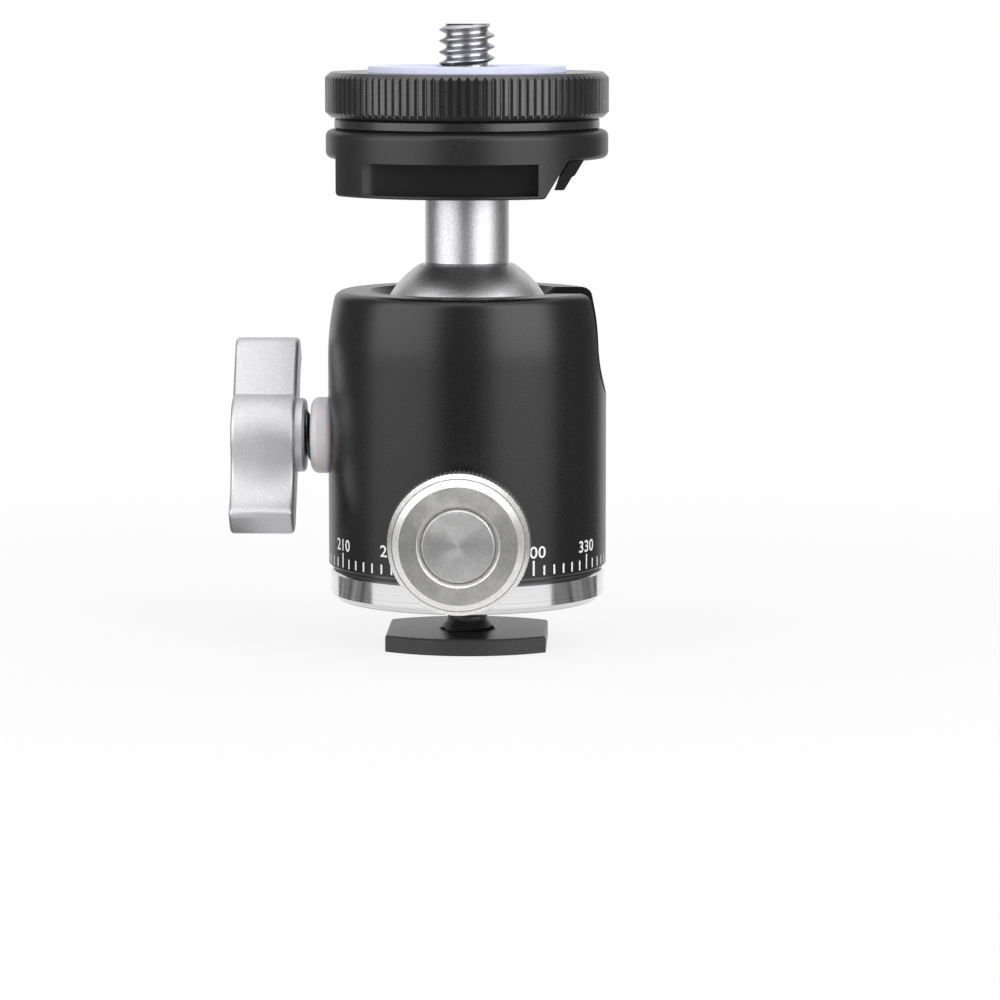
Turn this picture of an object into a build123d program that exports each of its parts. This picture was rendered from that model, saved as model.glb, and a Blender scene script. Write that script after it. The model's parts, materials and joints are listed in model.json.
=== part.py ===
from build123d import *
import math
import os

# Mini tripod ball head on an accessory-shoe foot.
# Units are millimetres. +Z runs up the axis, the origin is the centre of the foot's underside,
# the drop notch faces +X, the ball's lock knob -X and the pan lock knob -Y.

# ---- Clearances ----
FIXED_GAP = 0.02      # between pieces that are screwed or pressed together
RUNNING_GAP = 0.05    # round shafts that turn or slide in a hole
BALL_GAP = 0.05       # ball to its seats
REST_GAP = 0.05       # between flat faces that turn on each other

# ---- Accessory-shoe foot and stud ----
FOOT_WIDTH = 18.4
FOOT_LENGTH = 18.4
FOOT_THICKNESS = 1.9
FOOT_ARC_RADIUS = 15.5
FOOT_EDGE = 0.2
SHOE_GAP = 3.75             # room for the shoe's rails between foot and base plate
QUARTER_INCH_RADIUS = 3.175
STUD_HUB_RADIUS = 3.3
STUD_WAIST_RADIUS = 2.3
STUD_HUB_HEIGHT = 1.2
STUD_WAIST_HEIGHT = 0.5
STUD_TAIL_RADIUS = 2.2
STUD_TAIL_DEPTH = 1.4
STUD_REACH = 6.4            # thread inside the base plate and spindle

# ---- Base plate and pan spindle ----
BASE_SET_IN = 0.25          # of its edge from the housing's
BASE_HEIGHT = 3.35
BASE_LOWER_CHAMFER = 0.7
BASE_UPPER_CHAMFER = 0.2
SPINDLE_RADIUS = 7.0
SPINDLE_FLANGE_REACH = 1.6
SPINDLE_FLANGE_HEIGHT = 1.15
SPINDLE_NECK = 1.06         # between the brake groove and the flange
BRAKE_GROOVE_DEPTH = 0.8
BRAKE_GROOVE_ROOM = 0.2     # above and below the brake pad
SPINDLE_BORE_END = 0.8      # depth left past the tips of the stud and screws
SPINDLE_SCREW_COUNT = 3
SPINDLE_SCREW_RADIUS = 1.0
SPINDLE_SCREW_HEAD_RADIUS = 1.8
SPINDLE_SCREW_HEAD_HEIGHT = 1.0
SPINDLE_SCREW_LAND = 0.15   # left between the stud's hole and the heads
SPINDLE_SCREW_LENGTH = 6.0
SCREW_SOCKET_RADIUS = 0.75
GLIDE_WASHER_THICKNESS = 0.3
GLIDE_WASHER_INSET = 0.6

# ---- Housing ----
BODY_RADIUS = 16.0
BORE_PAST_BALL = 1.2        # bore radius more than the ball's
HOUSING_FOOT_CHAMFER = 0.45
SHOULDER_HEIGHT = 4.8
SHOULDER_INSET = 0.9
SHOULDER_BLEND = 30.0
RIM_CORNER_RADIUS = 1.2
RIM_OPENING_RADIUS = 11.3
RIM_CONE_DEPTH = 1.7
SEAT_START = 1.25           # the upper seat begins this far above the ball's centre
NOTCH_SIDE_ROOM = 0.6       # beside the dropped stem
NOTCH_FLOOR_ROOM = 1.4      # under the dropped stem
RIM_ABOVE_BALL_CENTRE = 5.75

# ---- Ball, stem and seats ----
BALL_RADIUS = 10.3
BALL_FLAT_LIP = 0.63        # of the flat top round the stem
STEM_RADIUS = 4.8
STEM_LENGTH = 8.1
STEM_CHAMFER = 0.25
STEM_SPIGOT_RADIUS = 3.0
STEM_SPIGOT_LENGTH = 4.2
BALL_SOCKET_END = 0.3
CUP_THICKNESS = 1.15
CUP_BELOW_STEM = 0.35       # cup's edge under the dropped stem
CUP_HOLE_RADIUS = 3.0
PLATE_BELOW_CUP = 0.2       # carrier's edge under the cup's
PLATE_FLOOR = 2.08          # carrier's thickness under the cup
PLATE_SIDE_GAP = 0.1
SEAT_DROP = 0.2             # how far the seat sinks when the ball is let go
SPRING_OUTER_RADIUS = 8.5
SPRING_INNER_RADIUS = 4.5
SPRING_STEEL = 0.4
SPRING_DISH = 0.3
SPRING_COUNT = 2
SPRING_PLATE_THICKNESS = 0.7
SPINDLE_HEADROOM = 0.3

# ---- Ball lock: knob, screw, plunger, washer ----
LOCK_AXIS_ABOVE_PLATE = 2.55
LOCK_SCREW_RADIUS = 3.0
PLUNGER_LENGTH = 1.9
PLUNGER_TIP_RADIUS = 0.8
KNOB_WASHER_RADIUS = 4.4
KNOB_WASHER_PROUD = 1.95    # of the housing's side
KNOB_WASHER_ROUNDING = 0.9
LOCK_THREAD_SHOWING = 0.65
COLLAR_RADIUS = 4.25
COLLAR_LENGTH = 1.5
COLLAR_CHAMFER = 0.3
WING_THICKNESS = 7.3
WING_HUB_RADIUS = 4.85
WING_CREASE_ANGLE = 100.0   # where the upper wing leaves the hub, from +Y
WING_FLARE_ANGLE = 195.0    # where the lower wing's flare leaves the hub
WING_TIP_HEIGHT = 11.35
WING_TIP_INNER = 3.0
WING_TIP_OUTER = 5.6
WING_RIDGE_REACH = 7.9
WING_RIDGE_HEIGHT = 8.7
WING_CORNER_RADIUS = 0.7
WING_EDGE = 0.4
LOCK_SCREW_IN_KNOB = 5.0

# ---- Pan lock: knob, screw, brake pad ----
PAN_AXIS_ABOVE_HOUSING = 5.6
PAN_SCREW_RADIUS = 2.0
PAN_PAD_RADIUS = 1.8
PAN_KNOB_RADIUS = 7.8
PAN_KNOB_FACE_RADIUS = 6.4
PAN_KNOB_BEVEL = 0.7        # round the face
PAN_KNOB_STEP = 0.13        # between the bevel and the shoulder
PAN_KNOB_SHOULDER = 0.49    # second bevel, out to the rim
PAN_KNOB_LENGTH = 8.0
PAN_KNOB_STANDOFF = 2.0     # from the housing's side to the knob's back
PAN_KNOB_TEETH = 100
PAN_KNOB_TOOTH_DEPTH = 0.2
PAN_KNOB_GROOVE_WIDTH = 0.35
PAN_KNOB_GROOVE_DEPTH = 0.3
PAN_KNOB_BACK_CHAMFER = 0.35
PAN_BOSS_RADIUS = 4.2
PAN_BOSS_LENGTH = 1.4
PAN_HEAD_RADIUS = 4.05
PAN_HEAD_ROOM = 0.15        # round the head in its recess
PAN_HEAD_RECESS_DEPTH = 1.2
PAN_HEAD_RECESS_CHAMFER = 0.2
PAN_HEAD_BELOW_FACE = 0.05
PAN_HEAD_CHAMFER = 0.2

# ---- Platform ----
FLANGE_RADIUS = 16.15
FLANGE_THICKNESS = 3.28
FLANGE_ROUNDING = 0.8
BLOCK_HEIGHT = 4.05
BLOCK_LEFT_CUT = 14.6       # flat on the lock-knob side, from the axis
BLOCK_SLANT_BOTTOM = 9.2    # slanted side at the block's underside, from the axis
BLOCK_SLANT_ANGLE = 31.2    # of the slanted side from the vertical
BLOCK_ROUNDING = 0.5        # of the bottom edges along the two cuts
BLOCK_EDGE = 0.15
POCKET_LEFT_LAND = 2.25     # from the block's straight cut to the pocket
POCKET_RIGHT_LAND = 0.7     # from the pocket to the slanted side's foot
POCKET_FLOOR_ABOVE_BOTTOM = 0.35
POCKET_CEILING_BELOW_FLANGE = 0.15
POCKET_DEPTH = 5.15         # from the flange's edge to the flat back of the pocket
POCKET_CORNER = 2.6
JAW_SLIT = 0.46             # between the block and the jaw's lower part, measured level
JAW_INNER_STEP = 0.24       # how far the jaw's upper part stands nearer to the block
JAW_THICKNESS = 1.55        # of the upper part
JAW_OUTER_STEP = 0.2        # how far the lower part is set back outside
JAW_STEP_DROP = 0.15
JAW_OUTER_STEP_ABOVE_BOTTOM = 1.65
JAW_INNER_STEP_ABOVE_BOTTOM = 0.9
JAW_BOTTOM_ABOVE_BLOCK = 0.8
JAW_TOE_ROUNDING = 0.3
JAW_LENGTH = 18.0
JAW_SET_BACK = 0.35         # of its ends from the flange's edge
JAW_TONGUE = 0.8            # how far the jaw's top is let into the flange

# ---- Neck ring, lock wheel, pad, camera screw ----
NECK_RING_SET_IN = 1.0      # of its edge from the flange's
NECK_RING_HEIGHT = 1.35
NECK_RING_EDGE = 0.25
WHEEL_RADIUS = 16.2
WHEEL_HEIGHT = 5.1
WHEEL_CHAMFER = 0.6
WHEEL_TEETH = 105
WHEEL_TOOTH_DEPTH = 0.36
WHEEL_TOOTH_CREST = 0.4     # share of a tooth's pitch that is its flat crest
WHEEL_TOOTH_ROOT = 0.12     # share that is the flat between teeth
PAD_RADIUS = 11.3
PAD_HOLE_ROOM = 0.425       # round the camera screw
PAD_THICKNESS = 1.2
PAD_PROUD = 0.65
CAMERA_SCREW_PROUD = 4.8    # above the pad
CAMERA_SCREW_TIP_CHAMFER = 0.6
CAMERA_SCREW_RELIEF = 0.7   # thread relief just under the pad's face
CAMERA_SCREW_RELIEF_RADIUS = 2.6
CAMERA_SCREW_IN_STEM = 5.0

# ---- Radii that follow ----
base_radius = BODY_RADIUS - BASE_SET_IN
bore_radius = BALL_RADIUS + BORE_PAST_BALL
seat_radius = BALL_RADIUS + BALL_GAP
cup_outer_radius = seat_radius + CUP_THICKNESS
carrier_radius = cup_outer_radius + FIXED_GAP
plate_radius = bore_radius - PLATE_SIDE_GAP
spindle_flange_radius = SPINDLE_RADIUS + SPINDLE_FLANGE_REACH
brake_groove_radius = SPINDLE_RADIUS - BRAKE_GROOVE_DEPTH
stud_hole_radius = QUARTER_INCH_RADIUS + FIXED_GAP
screw_circle_radius = stud_hole_radius + SPINDLE_SCREW_LAND + SPINDLE_SCREW_HEAD_RADIUS
lock_hole_radius = LOCK_SCREW_RADIUS + RUNNING_GAP
washer_recess_radius = KNOB_WASHER_RADIUS + 4 * RUNNING_GAP
pan_hole_radius = PAN_SCREW_RADIUS + RUNNING_GAP
neck_ring_radius = FLANGE_RADIUS - NECK_RING_SET_IN
pad_hole_radius = QUARTER_INCH_RADIUS + PAD_HOLE_ROOM

# ---- Levels up the axis, each from the one below ----
base_bottom = FOOT_THICKNESS + SHOE_GAP
base_top = base_bottom + BASE_HEIGHT
housing_bottom = base_top + GLIDE_WASHER_THICKNESS
pan_axis = housing_bottom + PAN_AXIS_ABOVE_HOUSING
brake_groove_bottom = pan_axis - PAN_PAD_RADIUS - BRAKE_GROOVE_ROOM
brake_groove_top = pan_axis + PAN_PAD_RADIUS + BRAKE_GROOVE_ROOM
spindle_flange_bottom = brake_groove_top + SPINDLE_NECK
spindle_top = spindle_flange_bottom + SPINDLE_FLANGE_HEIGHT
plug_top = spindle_top + SPINDLE_HEADROOM
springs_bottom = plug_top + SPRING_PLATE_THICKNESS
spring_height = SPRING_STEEL + SPRING_DISH
springs_top = springs_bottom + SPRING_COUNT * (spring_height + FIXED_GAP) - FIXED_GAP
plate_bottom = springs_top + FIXED_GAP + SEAT_DROP
lock_axis = plate_bottom + LOCK_AXIS_ABOVE_PLATE
ball_centre = plate_bottom + PLATE_FLOOR + carrier_radius
plate_top = ball_centre - STEM_RADIUS - CUP_BELOW_STEM - PLATE_BELOW_CUP
housing_top = ball_centre + RIM_ABOVE_BALL_CENTRE
ball_flat_height = math.sqrt(BALL_RADIUS ** 2 - (STEM_RADIUS + BALL_FLAT_LIP) ** 2)
stem_bottom = ball_centre + ball_flat_height
block_bottom = stem_bottom + STEM_LENGTH
flange_bottom = block_bottom + BLOCK_HEIGHT
flange_top = flange_bottom + FLANGE_THICKNESS
neck_ring_top = flange_top + NECK_RING_HEIGHT
wheel_bottom = neck_ring_top + REST_GAP
wheel_top = wheel_bottom + WHEEL_HEIGHT
pad_top = wheel_top + PAD_PROUD
camera_screw_top = pad_top + CAMERA_SCREW_PROUD

# ---- Distances out from the axis ----
washer_seat = math.sqrt(BODY_RADIUS ** 2 - washer_recess_radius ** 2)
washer_outer_face = BODY_RADIUS + KNOB_WASHER_PROUD
collar_inner_face = washer_outer_face + LOCK_THREAD_SHOWING
wing_inner_face = collar_inner_face + COLLAR_LENGTH
bevel_inner_radius = bore_radius + RUNNING_GAP - 2 * LOCK_SCREW_RADIUS
plunger_shoulder = bore_radius + 2 * RUNNING_GAP + SEAT_DROP   # backed off, so that the seat can sink
pan_knob_back = BODY_RADIUS + PAN_KNOB_STANDOFF


def ring(outer, inner, bottom, height):
    """Flat ring or, with no inner radius, a disc."""
    solid = Pos(0, 0, bottom) * Cylinder(outer, height, align=(Align.CENTER, Align.CENTER, Align.MIN))
    if inner > 0:
        solid -= Pos(0, 0, bottom) * Cylinder(inner, height, align=(Align.CENTER, Align.CENTER, Align.MIN))
    return solid


def turned(points):
    """Turn a closed outline of (radius, height) points about the Z axis."""
    outline = make_face(Polyline(*points, close=True))
    return revolve(Plane.XZ * outline, Axis.Z)


def along_minus_x(solid, start, height):
    """Lay a solid made along +Z so that it runs outwards along -X from x = -start."""
    return Pos(-start, 0, height) * Rot(0, -90, 0) * solid


def along_minus_y(solid, start, height):
    """Lay a solid made along +Z so that it runs outwards along -Y from y = -start."""
    return Pos(0, -start, height) * Rot(90, 0, 0) * solid


def knurled(radius, depth, teeth, height, crest_share=0, root_share=0):
    """Straight knurled blank standing on Z = 0: V teeth, or teeth with flat crests and roots."""
    step = 2 * math.pi / teeth
    points = []
    for tooth in range(teeth):
        for middle, share, reach in (
            (tooth * step, crest_share, radius),
            ((tooth + 0.5) * step, root_share, radius - depth),
        ):
            sides = (-share / 2, share / 2) if share > 0 else (0,)
            for side in sides:
                angle = middle + side * step
                points.append((reach * math.cos(angle), reach * math.sin(angle)))
    return extrude(make_face(Polyline(*points, close=True)), height)


# ---- Base ----
def make_shoe_foot():
    """Foot plate: flat sides to guide it in the shoe and arcs front and back."""
    blank = Box(FOOT_WIDTH, FOOT_LENGTH, FOOT_THICKNESS, align=(Align.CENTER, Align.CENTER, Align.MIN))
    for side in (1, -1):
        centre = side * (FOOT_LENGTH / 2 - FOOT_ARC_RADIUS)
        blank &= Pos(0, centre, 0) * ring(FOOT_ARC_RADIUS, 0, 0, FOOT_THICKNESS)
    blank = chamfer(blank.faces().sort_by(Axis.Z)[-1].edges(), FOOT_EDGE)
    tail_floor = FOOT_THICKNESS - STUD_TAIL_DEPTH
    return blank - ring(STUD_TAIL_RADIUS + FIXED_GAP, 0, tail_floor, STUD_TAIL_DEPTH)


def make_shoe_stud():
    """Stud from the foot up into the base plate, with a conical hub on the foot."""
    hub_bottom = FOOT_THICKNESS
    waist_bottom = hub_bottom + STUD_HUB_HEIGHT
    thread_bottom = waist_bottom + STUD_WAIST_HEIGHT
    thread_top = base_bottom + STUD_REACH
    return turned([
        (0, hub_bottom - STUD_TAIL_DEPTH + FIXED_GAP),
        (STUD_TAIL_RADIUS, hub_bottom - STUD_TAIL_DEPTH + FIXED_GAP),
        (STUD_TAIL_RADIUS, hub_bottom),
        (STUD_HUB_RADIUS, hub_bottom),
        (STUD_WAIST_RADIUS, waist_bottom),
        (STUD_WAIST_RADIUS, thread_bottom),
        (QUARTER_INCH_RADIUS, thread_bottom + STUD_WAIST_HEIGHT),
        (QUARTER_INCH_RADIUS, thread_top - STUD_WAIST_HEIGHT),
        (STUD_WAIST_RADIUS, thread_top),
        (0, thread_top),
    ])


def spindle_screw_places():
    return PolarLocations(screw_circle_radius, SPINDLE_SCREW_COUNT)


def make_base_plate():
    plate = turned([
        (0, base_bottom),
        (base_radius - BASE_LOWER_CHAMFER, base_bottom),
        (base_radius, base_bottom + BASE_LOWER_CHAMFER),
        (base_radius, base_top - BASE_UPPER_CHAMFER),
        (base_radius - BASE_UPPER_CHAMFER, base_top),
        (0, base_top),
    ])
    plate -= ring(stud_hole_radius, 0, base_bottom, BASE_HEIGHT)
    hole = ring(SPINDLE_SCREW_RADIUS + FIXED_GAP, 0, base_bottom, BASE_HEIGHT)
    sink = turned([
        (0, base_bottom),
        (SPINDLE_SCREW_HEAD_RADIUS + FIXED_GAP, base_bottom),
        (SPINDLE_SCREW_RADIUS + FIXED_GAP, base_bottom + SPINDLE_SCREW_HEAD_HEIGHT),
        (0, base_bottom + SPINDLE_SCREW_HEAD_HEIGHT),
    ])
    for place in spindle_screw_places():
        plate -= place * hole
        plate -= place * sink
    return plate


def make_spindle_screws():
    """Countersunk screws, heads flush with the base plate's underside."""
    shank_top = base_bottom + SPINDLE_SCREW_LENGTH
    screw = turned([
        (0, base_bottom),
        (SPINDLE_SCREW_HEAD_RADIUS, base_bottom),
        (SPINDLE_SCREW_RADIUS, base_bottom + SPINDLE_SCREW_HEAD_HEIGHT),
        (SPINDLE_SCREW_RADIUS, shank_top),
        (0, shank_top),
    ])
    socket = extrude(RegularPolygon(SCREW_SOCKET_RADIUS, 6), SPINDLE_SCREW_HEAD_HEIGHT)
    screw -= Pos(0, 0, base_bottom) * socket
    return Compound(children=[place * screw for place in spindle_screw_places()])


def make_pan_spindle():
    """Hub that the housing turns on: a shaft with a brake groove under a retaining flange."""
    hub = turned([
        (0, base_top),
        (SPINDLE_RADIUS, base_top),
        (SPINDLE_RADIUS, brake_groove_bottom),
        (brake_groove_radius, brake_groove_bottom),
        (brake_groove_radius, brake_groove_top),
        (SPINDLE_RADIUS, brake_groove_top),
        (SPINDLE_RADIUS, spindle_flange_bottom),
        (spindle_flange_radius, spindle_flange_bottom),
        (spindle_flange_radius, spindle_top),
        (0, spindle_top),
    ])
    stud_end = base_bottom + STUD_REACH + SPINDLE_BORE_END
    hub -= ring(stud_hole_radius, 0, base_top, stud_end - base_top)
    screw_end = base_bottom + SPINDLE_SCREW_LENGTH + SPINDLE_BORE_END
    for place in spindle_screw_places():
        hub -= place * ring(SPINDLE_SCREW_RADIUS + FIXED_GAP, 0, base_top, screw_end - base_top)
    return hub


def make_glide_washer():
    inner = SPINDLE_RADIUS + RUNNING_GAP
    return ring(base_radius - GLIDE_WASHER_INSET, inner, base_top, GLIDE_WASHER_THICKNESS)


# ---- Housing and what is fixed in it ----
def housing_shell():
    """Outer form: a cylinder whose shoulder leans in a little and rounds over at the rim."""
    top_radius = BODY_RADIUS - SHOULDER_INSET
    outline = make_face(Polyline(
        (0, housing_bottom),
        (BODY_RADIUS - HOUSING_FOOT_CHAMFER, housing_bottom),
        (BODY_RADIUS, housing_bottom + HOUSING_FOOT_CHAMFER),
        (BODY_RADIUS, housing_top - SHOULDER_HEIGHT),
        (top_radius, housing_top),
        (0, housing_top),
        close=True,
    ))
    corners = outline.vertices()
    rim = corners.sort_by_distance((top_radius, housing_top, 0))[0]
    outline = fillet(rim, RIM_CORNER_RADIUS)
    shoulder = outline.vertices().sort_by_distance((BODY_RADIUS, housing_top - SHOULDER_HEIGHT, 0))[0]
    outline = fillet(shoulder, SHOULDER_BLEND)
    return revolve(Plane.XZ * outline, Axis.Z)


def housing_cavity():
    """Bore from below, the ball's upper seat and the cone at the mouth."""
    seat_bottom = ball_centre + SEAT_START
    seat_top = housing_top - RIM_CONE_DEPTH
    seat_bottom_radius = math.sqrt(seat_radius ** 2 - SEAT_START ** 2)
    seat_top_radius = math.sqrt(seat_radius ** 2 - (seat_top - ball_centre) ** 2)
    middle = (seat_bottom + seat_top) / 2
    middle_radius = math.sqrt(seat_radius ** 2 - (middle - ball_centre) ** 2)
    below = Polyline(
        (seat_bottom_radius, seat_bottom), (bore_radius, seat_bottom),
        (bore_radius, housing_bottom), (0, housing_bottom),
    )
    seat = ThreePointArc(
        (seat_bottom_radius, seat_bottom), (middle_radius, middle), (seat_top_radius, seat_top)
    )
    above = Polyline((seat_top_radius, seat_top), (RIM_OPENING_RADIUS, housing_top), (0, housing_top))
    axis_line = Line((0, housing_top), (0, housing_bottom))
    outline = make_face([below, seat, above, axis_line])
    return revolve(Plane.XZ * outline, Axis.Z)


def drop_notch():
    """U-shaped cut that lets the stem drop to the horizontal."""
    half_width = STEM_RADIUS + NOTCH_SIDE_ROOM
    floor_centre = ball_centre - STEM_RADIUS - NOTCH_FLOOR_ROOM + half_width
    start = BALL_RADIUS / 4
    cutter = Rot(0, 90, 0) * ring(half_width, 0, 0, BODY_RADIUS)
    slot = Box(BODY_RADIUS, 2 * half_width, BODY_RADIUS, align=(Align.MIN, Align.CENTER, Align.MIN))
    return Pos(start, 0, floor_centre) * (cutter + slot)


def make_housing():
    shell = housing_shell() - housing_cavity() - drop_notch()
    shell -= along_minus_x(ring(lock_hole_radius, 0, 0, BODY_RADIUS), bore_radius / 2, lock_axis)
    washer_recess = ring(washer_recess_radius, 0, 0, KNOB_WASHER_RADIUS)
    shell -= along_minus_x(washer_recess, washer_seat, lock_axis)
    shell -= along_minus_y(ring(pan_hole_radius, 0, 0, BODY_RADIUS), bore_radius / 2, pan_axis)
    return shell


def make_housing_plug():
    """Ring that closes the housing and runs on the spindle, under the spindle's flange."""
    shoulder = spindle_flange_bottom - REST_GAP
    plug = turned([
        (SPINDLE_RADIUS + RUNNING_GAP, housing_bottom),
        (bore_radius - FIXED_GAP, housing_bottom),
        (bore_radius - FIXED_GAP, plug_top),
        (spindle_flange_radius + SPINDLE_HEADROOM, plug_top),
        (spindle_flange_radius + SPINDLE_HEADROOM, shoulder),
        (SPINDLE_RADIUS + RUNNING_GAP, shoulder),
    ])
    pad_hole = ring(PAN_PAD_RADIUS + RUNNING_GAP, 0, 0, bore_radius)
    return plug - along_minus_y(pad_hole, SPINDLE_RADIUS / 2, pan_axis)


def make_spring_plate():
    return ring(bore_radius - FIXED_GAP, SPRING_INNER_RADIUS, plug_top, SPRING_PLATE_THICKNESS)


def make_disc_springs():
    """Dished washers stacked face to face, the first with its rim down."""
    springs = []
    for number in range(SPRING_COUNT):
        bottom = springs_bottom + number * (spring_height + FIXED_GAP)
        inner_rise, outer_rise = (SPRING_DISH, 0) if number % 2 == 0 else (0, SPRING_DISH)
        springs.append(turned([
            (SPRING_INNER_RADIUS, bottom + inner_rise),
            (SPRING_OUTER_RADIUS, bottom + outer_rise),
            (SPRING_OUTER_RADIUS, bottom + outer_rise + SPRING_STEEL),
            (SPRING_INNER_RADIUS, bottom + inner_rise + SPRING_STEEL),
        ]))
    return Compound(children=springs)


def make_knob_washer():
    washer = ring(KNOB_WASHER_RADIUS, lock_hole_radius, 0, washer_outer_face - washer_seat)
    rim = washer.edges().filter_by(GeomType.CIRCLE).group_by(SortBy.RADIUS)[-1]
    return along_minus_x(fillet(rim, KNOB_WASHER_ROUNDING), washer_seat, lock_axis)


# ---- Ball seat and its lock ----
def bevel_height(radius):
    """Height of the pressure plate's 45 degree bevel at a radius."""
    return lock_axis - LOCK_SCREW_RADIUS + radius - bevel_inner_radius


def make_pressure_plate():
    """Carrier of the ball cup: spherical above, bevelled below for the plunger's nose."""
    rim_radius = math.sqrt(carrier_radius ** 2 - (ball_centre - plate_top) ** 2)
    low_radius = plate_bottom - lock_axis + LOCK_SCREW_RADIUS + bevel_inner_radius
    diagonal = carrier_radius * math.sqrt(0.5)
    outside = Polyline(
        (0, ball_centre - carrier_radius), (0, plate_bottom), (low_radius, plate_bottom),
        (plate_radius, bevel_height(plate_radius)), (plate_radius, plate_top), (rim_radius, plate_top),
    )
    bowl = ThreePointArc(
        (rim_radius, plate_top), (diagonal, ball_centre - diagonal), (0, ball_centre - carrier_radius)
    )
    return revolve(Plane.XZ * make_face([outside, bowl]), Axis.Z)


def make_ball_cup():
    """Spherical liner that the ball rests in."""
    shell = Sphere(cup_outer_radius) - Sphere(seat_radius)
    shell &= Pos(0, 0, -STEM_RADIUS - CUP_BELOW_STEM) * Box(
        3 * cup_outer_radius, 3 * cup_outer_radius, 3 * cup_outer_radius,
        align=(Align.CENTER, Align.CENTER, Align.MAX),
    )
    shell -= Cylinder(CUP_HOLE_RADIUS, 3 * cup_outer_radius)
    return Pos(0, 0, ball_centre) * shell


def make_ball():
    ball = Sphere(BALL_RADIUS)
    keep = Box(4 * BALL_RADIUS, 4 * BALL_RADIUS, 4 * BALL_RADIUS, align=(Align.CENTER, Align.CENTER, Align.MAX))
    ball &= Pos(0, 0, ball_flat_height) * keep
    depth = STEM_SPIGOT_LENGTH + BALL_SOCKET_END
    ball -= ring(STEM_SPIGOT_RADIUS + RUNNING_GAP, 0, ball_flat_height - depth, depth)
    return Pos(0, 0, ball_centre) * ball


def make_ball_plunger():
    """Pin with a 45 degree cone nose that bears on the pressure plate's bevel."""
    nose = LOCK_SCREW_RADIUS - PLUNGER_TIP_RADIUS
    return along_minus_x(turned([
        (0, -nose),
        (PLUNGER_TIP_RADIUS, -nose),
        (LOCK_SCREW_RADIUS, 0),
        (LOCK_SCREW_RADIUS, PLUNGER_LENGTH),
        (0, PLUNGER_LENGTH),
    ]), plunger_shoulder, lock_axis)


def make_lock_screw():
    start = plunger_shoulder + PLUNGER_LENGTH
    end = wing_inner_face + LOCK_SCREW_IN_KNOB
    return along_minus_x(ring(LOCK_SCREW_RADIUS, 0, 0, end - start), start, lock_axis)


def on_hub(angle):
    turn = math.radians(angle)
    return (WING_HUB_RADIUS * math.cos(turn), WING_HUB_RADIUS * math.sin(turn))


def wing_outline():
    """S-shaped outline in (depth, height): one half, and the same half turned by 180 degrees."""
    crease = on_hub(WING_CREASE_ANGLE)
    flare = on_hub(WING_FLARE_ANGLE)
    leaving = math.radians(WING_FLARE_ANGLE + 90)
    hub = ThreePointArc(crease, on_hub((WING_CREASE_ANGLE + WING_FLARE_ANGLE) / 2), flare)
    sweep = TangentArc(
        flare, (-WING_RIDGE_REACH, -WING_RIDGE_HEIGHT),
        tangent=(math.cos(leaving), math.sin(leaving)),
    )
    tip = Polyline(
        (-WING_RIDGE_REACH, -WING_RIDGE_HEIGHT),
        (-WING_TIP_OUTER, -WING_TIP_HEIGHT),
        (-WING_TIP_INNER, -WING_TIP_HEIGHT),
        (-crease[0], -crease[1]),
    )
    half = [hub, sweep, tip]
    turned_half = [Rot(0, 0, 180) * piece for piece in half]
    return make_face(half + turned_half)


def make_lock_knob():
    """S-shaped wing with a collar towards the housing and a hole for the screw, made along +Z."""
    outline = wing_outline()
    corners = outline.vertices().filter_by(lambda v: Vector(v).length > WING_HUB_RADIUS * 1.5)
    wing = extrude(fillet(corners, WING_CORNER_RADIUS), WING_THICKNESS)
    wing = chamfer(wing.faces().filter_by(Plane.XY).edges(), WING_EDGE)
    collar_end = WING_THICKNESS + COLLAR_LENGTH
    collar = turned([
        (0, WING_THICKNESS),
        (COLLAR_RADIUS, WING_THICKNESS),
        (COLLAR_RADIUS, collar_end - COLLAR_CHAMFER),
        (COLLAR_RADIUS - COLLAR_CHAMFER, collar_end),
        (0, collar_end),
    ])
    depth = COLLAR_LENGTH + LOCK_SCREW_IN_KNOB
    knob = wing + collar - ring(LOCK_SCREW_RADIUS + FIXED_GAP, 0, collar_end - depth, depth)
    outer_face = wing_inner_face + WING_THICKNESS
    return Plane(origin=(-outer_face, 0, lock_axis), x_dir=(0, 1, 0), z_dir=(1, 0, 0)) * knob


# ---- Pan lock ----
def make_pan_brake_pad():
    start = brake_groove_radius + REST_GAP
    end = bore_radius
    return along_minus_y(ring(PAN_PAD_RADIUS, 0, 0, end - start), start, pan_axis)


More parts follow.
